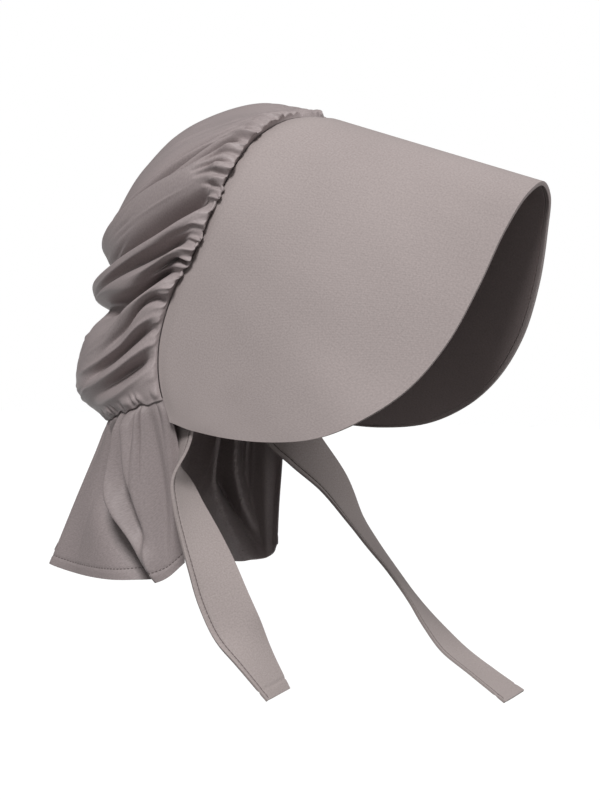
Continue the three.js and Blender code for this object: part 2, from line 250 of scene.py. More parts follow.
def wall_piece(name, outer, inner, cloth, material, coarser=1):
    """A closed cloth wall as an object: the outer grid, the inner grid turned about, of which only
    every second point is taken where coarser is 2, and a rim between their borders. cloth holds the
    outer points' places on the cloth."""
    inner, inner_cloth = inner[::coarser, ::coarser], cloth[::coarser, ::coarser]
    outer_loop, outer_index = border(*outer.shape[:2])
    inner_loop, inner_index = border(*inner.shape[:2])
    inner_loop, inner_index = inner_loop + outer[..., 0].size, inner_index + outer[..., 0].size
    steps = [np.roll(outer_loop, -k)[::coarser] for k in range(coarser + 1)]
    rim = np.stack([inner_loop, np.roll(inner_loop, -1), *steps[::-1]], -1)
    faces = [*quads_of(outer_index).tolist(), *quads_of(inner_index)[:, ::-1].tolist(), *rim.tolist()]
    points = np.concatenate([outer.reshape(-1, 3), inner.reshape(-1, 3)]) * mm
    mesh = bpy.data.meshes.new(name)
    mesh.from_pydata(points.tolist(), [], faces)
    places = np.concatenate([cloth.reshape(-1, 2), inner_cloth.reshape(-1, 2)])
    corners = np.empty(len(mesh.loops), np.int32)
    mesh.loops.foreach_get("vertex_index", corners)
    mesh.uv_layers.new(name="cloth").data.foreach_set("uv", places[corners].astype(np.float32).ravel())
    mesh.polygons.foreach_set("use_smooth", np.ones(len(mesh.polygons), bool))
    mesh.materials.append(material)
    piece = bpy.data.objects.new(name, mesh)
    bpy.context.scene.collection.objects.link(piece)
    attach(piece, "root")
    return piece


def round_edges(piece, radius):
    """Rounds the rims of a wall with a bevel of three segments, its radius in millimetres."""
    bevel = piece.modifiers.new("rounded_edge", "BEVEL")
    bevel.limit_method = "ANGLE"
    bevel.angle_limit = np.radians(50)
    bevel.width = radius * mm
    bevel.segments = 3


def twill_cloth(name, colour, roughness, sheen, rib, depth):
    """Twill on the piece's own cloth map: diagonal ribs, crossed by finer threads, with a fine speckle
    and slow changes of shade. rib is a rib's width and depth its height, both in millimetres."""
    material = bpy.data.materials.new(name)
    material.use_nodes = True
    nodes, links = material.node_tree.nodes, material.node_tree.links
    shader = nodes["Principled BSDF"]
    shader.inputs["Roughness"].default_value = roughness
    shader.inputs["Sheen Weight"].default_value = sheen
    shader.inputs["Sheen Roughness"].default_value = 0.45
    shader.inputs["Sheen Tint"].default_value = (0.95, 0.9, 0.9, 1)
    shader.inputs["Specular IOR Level"].default_value = 0.3
    place = nodes.new("ShaderNodeUVMap")
    place.uv_map = "cloth"

    def bands(turn, width, wobble):
        """Soft stripes of the given width in millimetres, turned by an angle on the cloth. A wave
        texture of scale 1 has stripes 2 pi / 20 wide."""
        turned = nodes.new("ShaderNodeMapping")
        turned.inputs["Rotation"].default_value = (0, 0, np.radians(turn))
        links.new(place.outputs["UV"], turned.inputs["Vector"])
        wave = nodes.new("ShaderNodeTexWave")
        wave.inputs["Scale"].default_value = 2 * np.pi / 20 / (width * mm)
        wave.inputs["Distortion"].default_value = wobble
        wave.inputs["Detail"].default_value = 1
        wave.inputs["Detail Scale"].default_value = 1.5
        links.new(turned.outputs["Vector"], wave.inputs["Vector"])
        return wave.outputs["Fac"]

    def speckle(scale, detail):
        """Cloudy noise with the given number of clouds a metre."""
        noise = nodes.new("ShaderNodeTexNoise")
        noise.inputs["Scale"].default_value = scale
        noise.inputs["Detail"].default_value = detail
        links.new(place.outputs["UV"], noise.inputs["Vector"])
        return noise.outputs["Fac"]

    def weighed(parts):
        """Sum of outputs, each times its weight."""
        total = None
        for output, weight in parts:
            part = nodes.new("ShaderNodeMath")
            part.operation = "MULTIPLY_ADD"
            part.inputs[1].default_value = weight
            part.inputs[2].default_value = 0
            links.new(output, part.inputs[0])
            if total is not None:
                links.new(total, part.inputs[2])
            total = part.outputs[0]
        return total

    ribs = bands(turn=52, width=rib, wobble=0.6)
    threads = bands(turn=-38, width=rib * 0.55, wobble=0.9)
    fine = speckle(scale=900, detail=2)
    slow = speckle(scale=16, detail=3)
    shade = nodes.new("ShaderNodeMapRange")
    shade.inputs["To Min"].default_value = 0.62
    shade.inputs["To Max"].default_value = 1.38
    links.new(weighed([(ribs, 0.05), (threads, 0.03), (fine, 0.68), (slow, 0.24)]), shade.inputs["Value"])
    tone = nodes.new("ShaderNodeVectorMath")
    tone.operation = "SCALE"
    tone.inputs[0].default_value = colour
    links.new(shade.outputs["Result"], tone.inputs["Scale"])
    links.new(tone.outputs["Vector"], shader.inputs["Base Color"])
    relief = nodes.new("ShaderNodeBump")
    relief.inputs["Strength"].default_value = 0.6
    relief.inputs["Distance"].default_value = depth * mm
    links.new(weighed([(ribs, 0.35), (threads, 0.25), (fine, 0.5)]), relief.inputs["Height"])
    links.new(relief.outputs["Normal"], shader.inputs["Normal"])
    return material


def brim_points(place, columns):
    """Straight lines from the seam to the free edge at the given places, their points closer together
    towards the free edge."""
    even = np.linspace(0, 1, columns + 1)
    column = (1 - (1 - even) ** edge_crowding)[None, :, None]
    return seam_line(place[:, None]) * (1 - column) + edge_line(place[:, None]) * column


def seam_depth(place):
    """How deep the seam lies below the brim's face, in millimetres: a third of the whole sink over the
    head, all of it above the ear, where the crown is fullest, and nothing at the two corners."""
    share = np.abs(place)
    bump = np.clip((share - 0.04) / 0.2, 0, 1) * np.clip((0.82 - share) / 0.25, 0, 1)
    return seam_sink * (0.35 + 0.65 * bump) * (1 - share ** 8)


# The brim's rows lie closer together over the top of the head
seam_row = np.linspace(-1, 1, brim_rows + 1)
seam_place = np.sign(seam_row) * np.abs(seam_row) ** top_crowding
brim = brim_points(seam_place, brim_columns)
brim_normals = grid_normals(brim)
seam_distance = np.linalg.norm(brim - brim[:, :1], axis=-1)
sunk = seam_depth(seam_place)[:, None] * np.exp(-(seam_distance / seam_sink_reach) ** 2)
brim = brim - sunk[..., None] * brim_normals
brim_cloth = cloth_lengths(brim)
edge_distance = np.linalg.norm(brim - brim[:, -1:], axis=-1)
edge_fade = np.clip((edge_distance - edge_turn_depth) / edge_turn_fade, 0, 1)
turned_edge = cover_thickness + edge_turn * (1 - edge_fade)
brim_cover = wall_piece(
    "brim_cover_cloth", brim, brim - turned_edge[..., None] * brim_normals, brim_cloth,
    twill_cloth("brim_twill", colour=(0.354, 0.304, 0.296), roughness=0.92, sheen=0.06, rib=1.0, depth=0.10),
    coarser=2)
round_edges(brim_cover, radius=0.7)
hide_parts("brim_cover")


# Brim lining
# The brim's lining: one layer of twill on the inner side of the stiffener, sewn in along the seam and set
# back a little behind the turned-in edge of the cover. Its colour is darkened as painted shade inside the
# brim.

lining_thickness = 1.2
lining_gap = 0.3
lining_top = cover_thickness + lining_gap
lining_set_back = 3
set_back_reach = 30

# Points move away from the free edge, each along its own line; the edge's own points go the way of
# their neighbours
to_edge = unit(brim[:, -1:] - brim)
set_back = lining_set_back * (1 - np.clip(edge_distance / set_back_reach, 0, 1)) ** 2
lined = brim - set_back[..., None] * np.where(edge_distance[..., None] > 0, to_edge, to_edge[:, -2:-1])
# The lining's twill is coloured darker than the cover's as painted shade, standing for the shade inside the
# brim
lining = wall_piece(
    "brim_lining_cloth", lined - lining_top * brim_normals,
    lined - (lining_top + lining_thickness) * brim_normals, brim_cloth,
    twill_cloth("lining_twill_painted_shade", colour=(0.25, 0.205, 0.2), roughness=0.95, sheen=0.05, rib=1.0, depth=0.10),
    coarser=2)
round_edges(lining, radius=0.5)
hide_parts("brim_lining")


# Crown
# The caul: a large piece of soft twill gathered onto the back edge of the brim, where its puckers
# roll a little over the brim, and drawn in at the nape. Its fullness hangs in swags round the back.

crown_depth = 162
crown_height = 194
crown_thickness = 0.8
crown_seam_share = 0.945
crown_rows, crown_columns = 340, 200
side_crowding = 1.7
seam_gap = 0.8

# Folds stand out by fold_swell times their table's rise and hang down by fold_droop times it; both
# begin over fold_start millimetres from the seam. bell_power makes a fold's flanks steeper or softer.
fold_swell, fold_droop, fold_start = 1.3, 0.42, 6
bell_power = 1.7

# Heights in millimetres above the smooth crown, each with its reach: the cloth swells beside the seam,
# is held down close to it, puckers, wrinkles, and is finely gathered over the top of the head
header_rise, header_reach = 4.6, 28
seam_hold = 2.2
pucker_rise = 5.2
wrinkle_rise = 0.95
gather_pitch, gather_rise, gather_reach = 5.6, 3.4, 11

# How far the header rolls forward over the brim, in millimetres: a plain part, then the parts that go
# with the puckers and the fine gathers, and how far from the seam and how wide the roll is
roll_plain, roll_pucker, roll_gather = 4.2, 3.8, 1.6
roll_place, roll_width = 2.6, 2.8

# Gathers above the cinch: their height in millimetres, and their place and spread in shares
cinch_rise, cinch_place, cinch_spread = 3.4, 0.982, 0.014

# Middle line of the crown from the seam (0) over the head to the nape (1), in shares of its sizes
back_table = {
    "at": (0, 0.06, 0.12, 0.18, 0.25, 0.4, 0.55, 0.7, 0.82, 0.92, 1),
    "back": (0, 0.28, 0.58, 0.77, 0.885, 0.93, 0.96, 1.005, 1.02, 0.965, 0.848),
    "down": (0, -0.04, 0.035, 0.175, 0.33, 0.485, 0.61, 0.755, 0.865, 0.94, 1),
}

# Folds, from the top down: points (how far round from the seam to the middle of the back, how far down
# in percent, how far it stands out in millimetres, valleys below 0), then its spread above and below
# its line in percent, and how much of it the wearer's left side has
fold_rows = (
    (((0, 15, 0), (0.08, 17.5, -4), (0.2, 22, -5), (0.36, 25, -3), (0.8, 26, 0)), 1.6, 0.8, 0.7),
    (((0, 19, 0), (0.08, 21.4, 1.6), (0.2, 25, 1.8), (0.36, 27.6, 1.4), (0.8, 28, 0.6)), 0.9, 1.4, 0.6),
    (((0.02, 19, -2), (0.12, 24, -5), (0.25, 28, -5.6), (0.4, 30, -5), (0.8, 30.6, -3.4)), 1.5, 0.5, 1),
    (((0, 25, 0), (0.1, 27.7, -4), (0.2, 29.6, -3.6), (0.32, 30.6, -1.4), (0.6, 31, 0)), 1.4, 0.8, 0.5),
    (((0, 22.4, -2), (0.05, 22, -3.4), (0.1, 22.6, -3), (0.16, 25, -1.6), (0.24, 28, 0)), 0.8, 0.6, 0.6),
    (((0, 26.8, -2.6), (0.05, 26.5, -4.4), (0.12, 27.4, -3.2), (0.2, 30.4, 0)), 0.9, 0.6, 1.2),
    (((0, 30.6, -2), (0.04, 30.4, -3.6), (0.1, 31, -3), (0.16, 33, 0)), 0.8, 0.5, 0.7),
    (((0, 34.2, -3), (0.04, 33.6, -4.6), (0.09, 33.8, -3.4), (0.15, 34.6, 0)), 0.9, 0.5, 1),
    (((0, 37.2, -2.4), (0.04, 36.6, -4), (0.09, 36, -2.4), (0.13, 36, 0)), 0.8, 0.6, 0.8),
    (((0, 41.2, -2.6), (0.04, 40, -4), (0.09, 38.8, 0)), 0.8, 0.6, 1.3),
    (((0, 32.6, 1), (0.17, 33, 3.2), (0.34, 32.6, 3.6), (0.55, 32.4, 3), (0.8, 32.8, 2)), 1.4, 4.4, 0.9),
    (((0, 44.6, -3), (0.07, 45.6, -15), (0.16, 47.4, -21), (0.4, 48.4, -19), (0.8, 46, -9)), 5.8, 1.9, 0.8),
    (((0, 47.3, 2), (0.1, 49, 4), (0.2, 50.8, 4), (0.4, 51, 3.4), (0.8, 50, 2)), 0.9, 4.5, 0.8),
    (((0, 51.5, -2), (0.03, 52, -3.4), (0.08, 53, -2.2), (0.16, 53.6, 0), (0.8, 54, 0)), 1.2, 0.7, 1),
    (((0, 55.6, -4), (0.1, 57, -11), (0.2, 57.6, -10), (0.35, 57, -7), (0.8, 54, -0.5)), 3.4, 1, 1),
    (((0, 58.8, 2.5), (0.06, 59.4, 4), (0.13, 60.6, 3), (0.22, 61.2, 1.2), (0.45, 59, 0), (0.8, 57, 0)),
     0.8, 2.2, 1),
    (((0, 61.8, 0), (0.02, 61.9, -7), (0.07, 61.9, -9), (0.12, 62.8, -4), (0.18, 63.6, 0)), 0.7, 0.7, 0.3),
    (((0, 63.6, 2), (0.06, 64.2, 4), (0.13, 64.6, 3.6), (0.2, 65.4, 1.6), (0.4, 62, 0), (0.8, 57, 0)),
     1, 2.6, 0.9),
    (((0, 66, -4), (0.07, 66.6, -13), (0.15, 68, -19), (0.26, 70.4, -21), (0.4, 68, -9), (0.6, 66, 0),
      (0.8, 66, 0)), 4, 1.4, 0.85),
    (((0.2, 70, 0), (0.3, 69, -5), (0.42, 65.5, -11), (0.6, 61.4, -11), (0.8, 59, -10)), 2.8, 6.5, 0.9),
    (((0, 67.8, 2), (0.08, 69, 3.6), (0.18, 71.4, 4), (0.26, 75, 3.4), (0.4, 76, 1), (0.8, 76, 0)),
     0.9, 3.2, 0.9),
    (((0, 75, -3), (0.06, 73.2, -6.5), (0.12, 73.6, -6), (0.18, 77.4, -4), (0.3, 80.4, -1.4), (0.8, 80, 0)),
     1.6, 0.8, 0.8),
    (((0, 77.6, 1.5), (0.1, 78.4, 2.2), (0.22, 81.8, 2.2), (0.4, 83, 1), (0.8, 80, 0)), 0.8, 2.4, 1),
    (((0, 81, -3), (0.08, 81.8, -8), (0.2, 84.2, -10), (0.34, 86.2, -7), (0.5, 87, -0.5), (0.8, 87, 0)),
     3, 1, 0.9),
    (((0.2, 84, 0), (0.4, 86, 1), (0.6, 88, 1.4), (0.8, 88, 1.4)), 7, 7, 1),
    (((0, 84.4, 1), (0.1, 86, 2.2), (0.2, 87.8, 2.4), (0.36, 89, 1), (0.6, 89, 0)), 0.8, 2, 1),
    (((0, 87.4, -2), (0.08, 89.8, -7), (0.2, 91.6, -8), (0.32, 92.6, -4.4), (0.5, 93, -0.5), (0.8, 93, 0)),
     2.4, 1, 1),
    (((0, 91.4, 1), (0.12, 93.2, 2), (0.25, 94.6, 2), (0.4, 95.2, 0.8), (0.6, 95, 0)), 0.8, 1.6, 1),
)


def ease(value, low, high):
    """0 below low, 1 above high, smooth in between."""
    t = np.clip((value - low) / (high - low), 0, 1)
    return t * t * (3 - 2 * t)


def crown_points(share, around):
    """Smooth crown without folds. share runs from the top of the seam (0) to the cinch at the nape (1)
    and around from the right seam (-1) over the middle of the back (0) to the left (1). A row is a
    quarter ellipse on each side, whose fall is a power of the cosine."""
    start = seam_line(share * crown_seam_share)
    angle = around * np.pi / 2
    back = crown_depth * read_column(back_table, "back", share) - seam_forward
    down = -seam_top_drop - crown_height * read_column(back_table, "down", share)
    sag = 2 - np.minimum(1.1 * share, 0.9)
    x, y, z = np.moveaxis(start, -1, 0)
    return np.stack([
        x * np.sin(angle),
        y + seam_gap + (back - y) * np.cos(angle),
        z + (down - z) * np.cos(angle) ** sag,
    ], -1)


def fold_height(rows, along, across, left):
    """Sum of folds in millimetres. Each is a bell across its line, with its own spread on both sides.
    left runs from 0 on the wearer's right to 1 on the left, where the lines lie a little aside."""
    total = 0
    for k, (points, before, after, left_part) in enumerate(rows):
        line = dict(zip(("at", "across", "rise"), zip(*points)))
        offset = across - read_column(line, "across", along) - 1.5 * np.sin(2.4 * k) * left
        rise = read_column(line, "rise", along) * (1 + (left_part - 1) * left)
        spread = np.where(offset < 0, before, after)
        total = total + rise * np.exp(-np.abs(offset / spread) ** bell_power)
    return total


crown_draw = np.random.default_rng(11)
pucker_count = 36
pucker_slant = 0.0024
wrinkle_count = 110


def pucker_height(share, distance, side):
    """Gathers along the seam, from 0 to about 2: sharp crests a few millimetres wide that slant down as
    they run back and fade over their own reach. Their places, heights and reaches vary; they are strong
    over the head and die out below the ear."""
    total = np.zeros(np.broadcast(share, distance).shape)
    spacing = 1 / pucker_count
    for k in range(pucker_count):
        centre = (k + 0.5 + crown_draw.uniform(-0.36, 0.36)) * spacing
        rise = crown_draw.uniform(0.5, 1.5) * (1 - 0.65 * ease(-centre, -0.2, -0.04))
        rise *= 1 - 0.8 * ease(centre, 0.62, 0.8)
        reach = crown_draw.uniform(5, 17)
        width = spacing * crown_draw.uniform(0.18, 0.36) * (1 + distance / 30)
        lean = pucker_slant * reach * (1 - np.exp(-distance / reach)) * 1.3
        bell = np.abs((share - centre - lean) / width) ** bell_power
        total += rise * np.exp(-bell - (distance / reach) ** 1.3)
    return total * side


def wrinkle_height(share, around):
    """Short shallow creases laid along the folds, at drawn places."""
    from_seam = 1 - np.abs(around)
    level = share - 0.06 * (1 - np.exp(-from_seam / 0.15))
    total = 0
    for _ in range(wrinkle_count):
        middle, start = crown_draw.uniform(0.06, 0.9), crown_draw.uniform(0, 0.85)
        reach, width = crown_draw.uniform(0.04, 0.13), crown_draw.uniform(0.004, 0.010)
        tilt = crown_draw.uniform(-0.05, 0.09)
        side = np.where(crown_draw.uniform() < 0.5, around < 0.02, around > -0.02)
        across = (level - middle - tilt * (from_seam - start)) / width
        along = (from_seam - start) / reach
        total = total + crown_draw.uniform(-1, 1) * side * np.exp(-across ** 2 - along ** 2)
    return total


def cinch_gathers(around):
    """Gathers at the cinch along the crown's lower edge and the frill's upper one, from 0 to 1: rounded
    rolls with narrow nicks between them, unevenly wide."""
    place = np.abs(around)
    phase = 14 * place + 0.3 * np.sin(29 * place + 1) + 0.2 * np.sin(53 * place + around)
    strength = 0.75 + 0.25 * np.sin(23 * place + 2)
    return np.abs(np.sin(np.pi * phase)) ** 0.7 * strength


def cinch_wave(around):
    """How far the drawn-in line at the nape wanders up and down, in millimetres: two waves that don't
    repeat together, and nothing at the line's front ends."""
    place = np.abs(around)
    wave = 0.8 * np.sin(31 * place + 0.6) + 0.6 * np.sin(67 * place + 2 + around)
    return wave * (1 - ease(place, 0.93, 1))


# The smooth crown, its columns closer together towards the seam
crown_share = np.linspace(0, 1, crown_rows + 1)[:, None]
crown_place = np.linspace(-1, 1, crown_columns + 1)[None, :]
crown_round = np.sign(crown_place) * (1 - (1 - np.abs(crown_place)) ** side_crowding)
crown_base = crown_points(crown_share, crown_round)
crown_normals = grid_normals(crown_base)
right_side = crown_round < 0
crown_seam = np.where(right_side[..., None], crown_base[:, :1], crown_base[:, -1:])
crown_distance = np.linalg.norm(crown_base - crown_seam, axis=-1)

# Where the forms begin and end: beside the seam, below the top of the head and above the cinch
held = 1 - np.exp(-crown_distance / seam_hold)
opened = ease(crown_share, 0, 0.04)
closed = 1 - ease(crown_share, 0.965, 1) ** 2
over_top = 1 - ease(crown_share, 0.06, 0.2)
fold_fade = 1 - np.exp(-crown_distance / fold_start)

# Heights above the smooth crown
puckers = (pucker_height(crown_share, crown_distance, right_side)
           + pucker_height(crown_share, crown_distance, ~right_side))
wrinkles = wrinkle_height(crown_share, crown_round)
seam_run = run_along(crown_base[:, 0])[:, None]
gather_phase = seam_run / gather_pitch + 0.25 * np.sin(seam_run / 7) + 0.03 * crown_distance
fine_gathers = np.abs(np.sin(np.pi * gather_phase)) ** 0.6
header = header_rise * (1 - 0.6 * crown_share) * (1 - 0.5 * over_top) * np.exp(-crown_distance / header_reach)
top_part = 1 - ease(crown_share, 0.2, 0.42)
header += gather_rise * (fine_gathers - 0.6) * top_part * np.exp(-crown_distance / gather_reach)
crown_rise = held * closed * (header + pucker_rise * puckers + wrinkle_rise * opened * wrinkles)
crown_from_seam = 1 - np.abs(crown_round)
crown_left = np.minimum(1, 4 * np.maximum(0, crown_round) * crown_from_seam)
folds = fold_height(fold_rows, crown_from_seam, 100 * crown_share, crown_left)
crown_rise += fold_swell * fold_fade * closed * opened * folds
cinch_bell = np.exp(-((crown_share - cinch_place) / cinch_spread) ** 2)
crown_rise += cinch_rise * held * (cinch_gathers(crown_round) - 0.35) * cinch_bell

# The header's roll over the brim, towards the free edge
forward_side = unit(edge_line(crown_share * crown_seam_share) - seam_line(crown_share * crown_seam_share))
forward = np.where(right_side[..., None], forward_side * (-1, 1, 1), forward_side)
uneven = 0.6 * np.sin(61 * crown_share + 1) + 0.5 * np.sin(97 * crown_share + crown_round)
roll = roll_plain + roll_pucker * puckers + uneven + roll_gather * fine_gathers
roll = roll * (1 - 0.7 * ease(crown_share, 0.6, 0.8)) * closed
roll *= 1 - 0.6 * over_top
roll *= np.exp(-((crown_distance - roll_place) / roll_width) ** 2) * held
crown_cloth = crown_base + crown_normals * crown_rise[..., None] + forward * roll[..., None]

# The cinch wanders up and down, the folds droop, and beside the seam the crown sinks in with the brim
crown_cloth[..., 2] += cinch_wave(crown_round) * np.exp(-(1 - crown_share) / 0.025)
crown_cloth[..., 2] -= fold_droop * fold_fade * closed * opened * folds
start_place = np.where(right_side, -1, 1) * crown_share * crown_seam_share
seam_normal = np.stack([np.interp(start_place, seam_place, brim_normals[:, 0, k]) for k in range(3)], -1)
start_sink = seam_depth(start_place) * np.exp(-crown_distance / 2.5)
crown_cloth -= start_sink[..., None] * seam_normal
crown = wall_piece(
    "crown_cloth", crown_cloth, crown_cloth - crown_thickness * grid_normals(crown_cloth),
    cloth_lengths(crown_base),
    twill_cloth("crown_twill", colour=(0.33, 0.28, 0.278), roughness=0.48, sheen=0.08, rib=1.1, depth=0.10),
    coarser=2)
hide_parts("crown")


# Nape frill
# A straight strip of the same soft twill, gathered under the crown's cinch, that falls over the neck
# in loose pleats. Its lower edge is turned up once and stitched.

frill_length = 94
frill_hem_half_width = 66
frill_hem_depth = 120
frill_hem_forward = 2
frill_thickness = 0.9
frill_rows, frill_columns = 112, 600

# The frill starts inside the crown's drawn-in edge, this far in and up, in millimetres
frill_inset, frill_tuck = 0.2, 1.4

# Pleats stand out by pleat_swell times their table's rise and lean back by pleat_lap times it. The
# gathers' height below the cinch and their reach are in millimetres.
pleat_swell, pleat_lap = 1.5, 0.42
gathers_rise, gathers_reach = 5.5, 24

# The turned-up hem, in millimetres: its width, how far it stands out, and the depth and the width of
# the dip that its stitches draw
frill_hem, hem_step, stitch_dip, stitch_dip_width = 5.5, 0.2, 0.5, 0.7
stitch_line = frill_length - frill_hem

# How far the frill's two front parts stand forward below the cinch, and its front edges turn in
front_forward, front_turned_in = 4.6, 4.5

# Hem from the middle of the back (0) to its front corner (1), in shares of its sizes
hem_table = {
    "at": (0, 0.25, 0.5, 0.75, 0.92, 1),
    "out": (0, 0.42, 0.76, 0.95, 0.99, 0.985),
    "back": (1, 0.95, 0.72, 0.36, 0.09, 0),
    "lift": (0, -0.01, -0.06, -0.07, -0.03, 0.07),
}

# Pleats, written as the crown's folds are: points (how far down, how far round from the middle of the
# back in percent, how far it stands out in millimetres), then its spread on its back and front sides
# in percent, and how much of it the wearer's left side has
pleat_rows = (
    (((0, 10, 0), (0.4, 10, 3), (1, 10, 6)), 6, 6, 0.8),
    (((0, 27, 0), (0.4, 26, -3), (1, 24, -5.4)), 5, 5, 1),
    (((0, 40, 0), (0.4, 39, 3), (1, 38, 6)), 5.5, 6, 0.9),
    (((0, 61, -3), (0.2, 60, -15), (0.5, 63, -18), (0.75, 74, -15), (1, 85, -9)), 8, 3, 0.9),
    (((0, 65, 2), (0.25, 63, 6), (0.4, 65, 7), (0.57, 71, 7), (0.67, 76, 6), (0.85, 84, 5), (1, 88, 4)),
     2, 4.4, 1.1),
    (((0, 69, -3), (0.22, 74, -9), (0.4, 76, -10), (0.53, 79, -8), (0.7, 83, -5), (0.85, 87, 0), (1, 90, 0)),
     3.6, 2, 0.8),
    (((0, 72, 2), (0.28, 76, 6), (0.46, 78.4, 6), (0.64, 82.4, 5), (0.84, 87.4, 4), (1, 90, 3)), 2, 9, 0.9),
    (((0, 90, 0), (0.3, 91, -2), (0.6, 92, -3), (1, 93, -2)), 4, 3, 1.2),
)


def hem_line(around):
    """Points of the frill's hem, from the wearer's right front corner (-1) to the left one (1)."""
    place = np.abs(around)
    corner = seam_line(np.array(1.0))
    return np.stack([
        np.sign(around) * frill_hem_half_width * read_column(hem_table, "out", place),
        corner[1] - frill_hem_forward + frill_hem_depth * read_column(hem_table, "back", place, True),
        corner[2] + frill_length * (read_column(hem_table, "lift", place, True) - 1),
    ], -1)


frill_down = np.linspace(0, 1, frill_rows + 1)[:, None]
frill_round = np.linspace(-1, 1, frill_columns + 1)[None, :]
fall = frill_down * frill_length
cinch_line = crown_points(np.ones_like(frill_round), frill_round)
outward = unit(np.cross((0, 0, 1), np.gradient(cinch_line, axis=1)))
frill_top = cinch_line - (crown_thickness + frill_inset) * outward + (0, 0, frill_tuck)
frill_base = frill_top * (1 - frill_down[..., None]) + hem_line(frill_round) * frill_down[..., None]
frill_side = np.abs(frill_round)
front_part = ease(frill_side, 0.86, 0.99) * (1 - np.exp(-fall / 5.5)) * (1 - ease(fall, 30, frill_length))
frill_base = frill_base - front_forward * front_part[..., None] * (0, 1, 0)

# Heights above the smooth frill
pleats = fold_height(pleat_rows, frill_down, 100 * frill_side, ease(frill_round, -0.05, 0.05))
pleat_start = ease(frill_down, 0, 0.12)
below_cinch = np.maximum(fall - frill_tuck - 0.3, 0)
front_edge = 1 - ease(frill_side, 0.95, 0.99)
gathers = gathers_rise * cinch_gathers(frill_round) * np.exp(-fall / gathers_reach)
gathers = gathers * (1 - np.exp(-below_cinch / 2)) * front_edge
turned_up = hem_step * ease(fall, stitch_line - 0.5, stitch_line + 0.6)
turned_up = turned_up - stitch_dip * np.exp(-((fall - stitch_line) / stitch_dip_width) ** 2)
turned_in = -front_turned_in * ease(frill_side, 0.925, 1) ** 1.5 * ease(fall, 4, 30)
frill_rise = pleat_swell * pleats * pleat_start + gathers + turned_up + turned_in
frill_cloth = frill_base + grid_normals(frill_base) * frill_rise[..., None]
frill_cloth[..., 2] += cinch_wave(frill_round) * np.exp(-fall / 5)

# The pleats lean towards the middle of the back
backward = unit(np.gradient(frill_base, axis=1)) * -np.clip(frill_round / 0.1, -1, 1)[..., None]
frill_cloth += pleat_lap * (pleats * pleat_start)[..., None] * backward
frill = wall_piece(
    "frill_cloth", frill_cloth, frill_cloth - frill_thickness * grid_normals(frill_cloth),
    cloth_lengths(frill_base),
    twill_cloth("frill_twill", colour=(0.282, 0.239, 0.237), roughness=0.55, sheen=0.08, rib=1.2, depth=0.10),
    coarser=2)
round_edges(frill, radius=0.35)
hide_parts("nape_frill")


# In millimetres
thread_radius = 0.34


def stitch_row(name, path, normals, pitch, filled, material):
    """Running stitches along a path on the cloth as one object. Each is a short thread over the filled
    share of its pitch, which is in millimetres, with its ends drawn in by a low power of a sine. Its
    middle lies 0.3 of its radius above the cloth. Stitches filled to more than 1 meet end to end."""
    run = run_along(path)
    starts = np.arange(pitch / 2, run[-1] - pitch, pitch)
    station = np.linspace(0, 1, 6)
    where = starts[:, None] + filled * pitch * station
    centre = np.stack([np.interp(where, run, path[:, k]) for k in range(3)], -1)
    out = unit(np.stack([np.interp(where, run, normals[:, k]) for k in range(3)], -1))
    side = np.cross(out, unit(np.gradient(centre, axis=1)))
    swell = thread_radius * np.maximum(np.sin(np.pi * station), 0.04)[:, None, None] ** 0.3
    turn = np.linspace(0, 2 * np.pi, 7)[:-1, None]
    ring = np.cos(turn) * side[:, :, None] + (np.sin(turn) + 0.3) * out[:, :, None]
    points = centre[:, :, None] + swell * ring
    index = np.arange(points[..., 0].size).reshape(points.shape[:3])
    whole = np.concatenate([index, index[:, :, :1]], 2)
    corners = (whole[:, :-1, :-1], whole[:, 1:, :-1], whole[:, 1:, 1:], whole[:, :-1, 1:])
    sides = np.stack(corners, -1).reshape(-1, 4)
    faces = sides.tolist() + index[:, 0].tolist() + index[:, -1, ::-1].tolist()
    mesh = bpy.data.meshes.new(name)
    mesh.from_pydata((points.reshape(-1, 3) * mm).tolist(), [], faces)
    mesh.polygons.foreach_set("use_smooth", np.ones(len(mesh.polygons), bool))
    mesh.materials.append(material)
    row = bpy.data.objects.new(name, mesh)
    bpy.context.scene.collection.objects.link(row)
    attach(row, "root")
    return row


def thread_finish(name, colour):
    """Sewing thread: one colour with a fine change of shade along it, and a faint gloss."""
    material = bpy.data.materials.new(name)
    material.use_nodes = True
    nodes, links = material.node_tree.nodes, material.node_tree.links
    shader = nodes["Principled BSDF"]
    shader.inputs["Roughness"].default_value = 0.6
    shader.inputs["Sheen Weight"].default_value = 0.1
    plies = nodes.new("ShaderNodeTexNoise")
    plies.inputs["Scale"].default_value = 1500
    place = nodes.new("ShaderNodeTexCoord")
    shade = nodes.new("ShaderNodeMapRange")
    shade.inputs["To Min"].default_value = 0.8
    shade.inputs["To Max"].default_value = 1.2
    tone = nodes.new("ShaderNodeVectorMath")
    tone.operation = "SCALE"
    tone.inputs[0].default_value = colour
    links.new(place.outputs["Object"], plies.inputs["Vector"])
    links.new(plies.outputs["Fac"], shade.inputs["Value"])
    links.new(shade.outputs["Result"], tone.inputs["Scale"])
    links.new(tone.outputs["Vector"], shader.inputs["Base Color"])
    return material


frill_normals = grid_normals(frill_cloth)
stitched = np.argmin(np.abs(fall[:, 0] - stitch_line))
sewing_thread = thread_finish("sewing_thread", (0.13, 0.105, 0.102))
frill_stitches = stitch_row(
    "frill_hem_stitches", frill_cloth[stitched], frill_normals[stitched],
    pitch=2.4, filled=0.66, material=sewing_thread)


# Ties
# Two long bands of doubled twill, stitched along one edge and hemmed at the end, tucked in behind
# the brim's back corners and hanging forward over the wearer's chest.

tie_width = 32
tie_thickness = 1.4
tie_clearance = 0.2
tie_tuck = 7
tie_set_forward = 1
tie_rows, tie_columns = 240, 48

